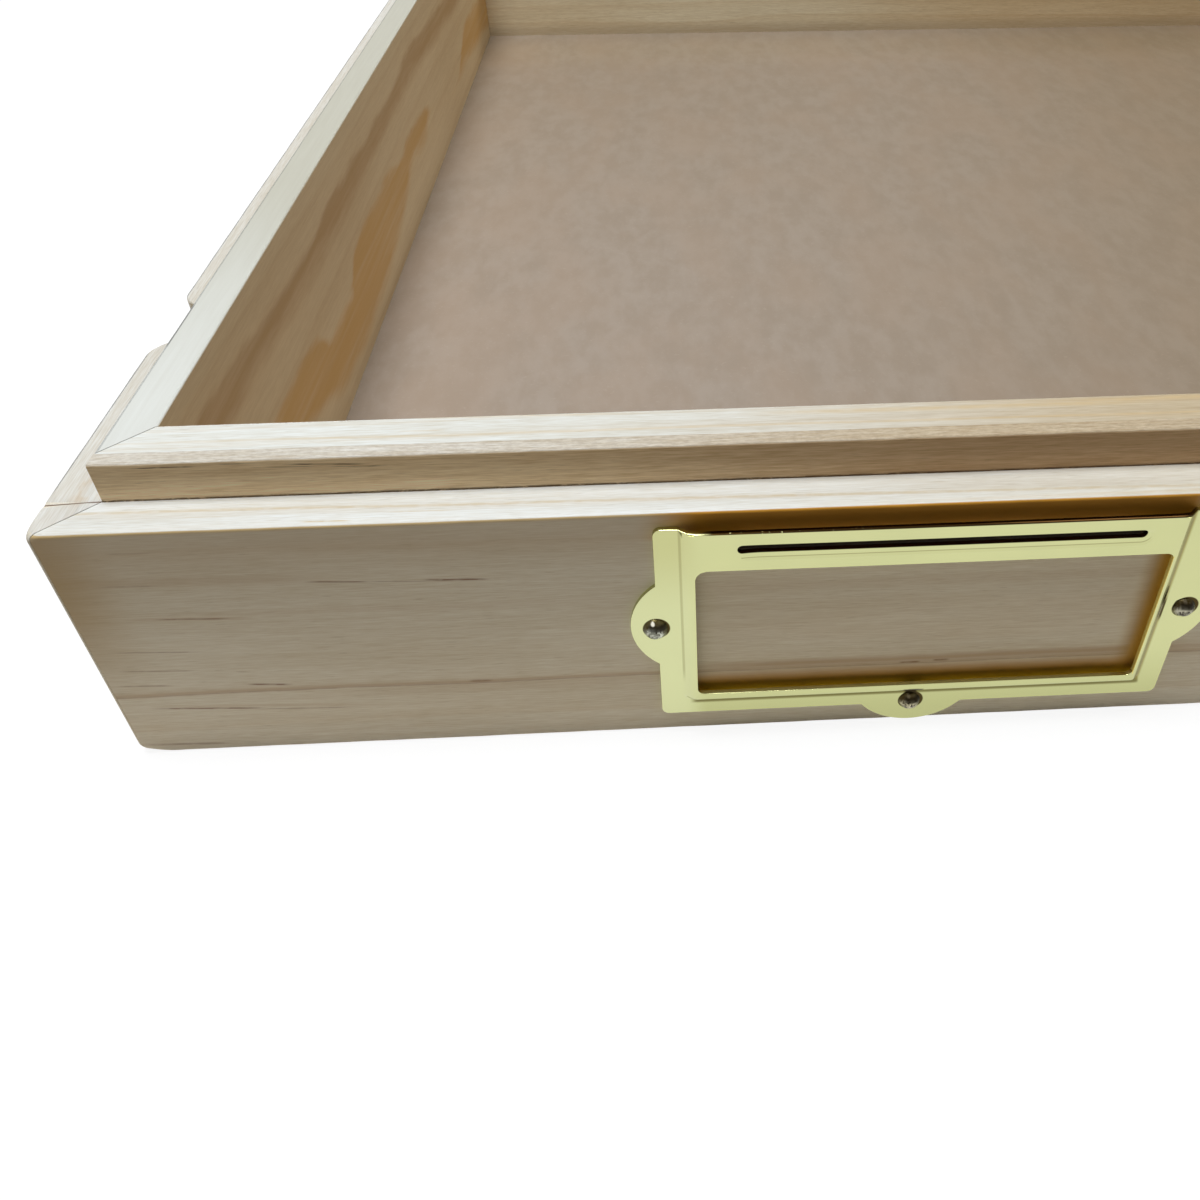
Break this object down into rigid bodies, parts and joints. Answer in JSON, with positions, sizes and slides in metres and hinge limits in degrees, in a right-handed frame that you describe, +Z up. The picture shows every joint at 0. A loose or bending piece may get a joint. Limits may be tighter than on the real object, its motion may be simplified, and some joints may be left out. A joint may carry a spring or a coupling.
{
  "type": "butterfly display case",
  "caption": "Open pine butterfly display case with a raised lip, hardboard floor and brass label holder, its glazed lift-off lid lying upside down behind it.",
  "frame": {"origin": "middle of the tray's underside", "axes": "+Z up; front of the tray, with the label holder, towards -Y; the lid lies behind the tray, towards +Y"},
  "size_m": [0.5, 0.8321, 0.0522],
  "materials": {
    "pine_wall": "planed and sanded, unvarnished",
    "pine_liner": "planed, unvarnished, with heartwood streaks",
    "pine_sawn": "sawn, unvarnished",
    "pine_lid": "planed and sanded, unvarnished",
    "pine_bead": "planed, unvarnished",
    "hardboard": "raw fibreboard, matt and mottled",
    "brass": "polished, lacquered sheet",
    "pin_steel": "plated, hammered domed heads",
    "steel": "bright wire nail",
    "glass": "clear float glass, polished"
  },
  "bodies": {
    "case": {"front_wall": "pine_wall", "back_wall": "pine_wall", "left_wall": "pine_wall", "right_wall": "pine_wall", "front_liner": "pine_liner", "back_liner": "pine_liner", "left_liner": "pine_liner", "right_liner": "pine_liner", "packing_strip": "pine_sawn", "floor_panel": "hardboard", "floor_panel_brads": "steel", "label_holder": "brass", "label_pin_left": "pin_steel", "label_pin_right": "pin_steel", "label_pin_bottom": "pin_steel"},
    "lid": {"lid_front_rail": "pine_lid", "lid_back_rail": "pine_lid", "lid_left_rail": "pine_lid", "lid_right_rail": "pine_lid", "front_glazing_bead": "pine_bead", "back_glazing_bead": "pine_bead", "left_glazing_bead": "pine_bead", "right_glazing_bead": "pine_bead", "glass_pane": "glass", "glazing_bead_brads": "steel"}
  },
  "joints": [
    {"name": "lid_turn", "type": "hinge", "parent": "case", "child": "lid", "pos_m": [0, 0.215, 0.03], "axis": [1, 0, 0], "range_deg": [0, 180]}
  ]
}
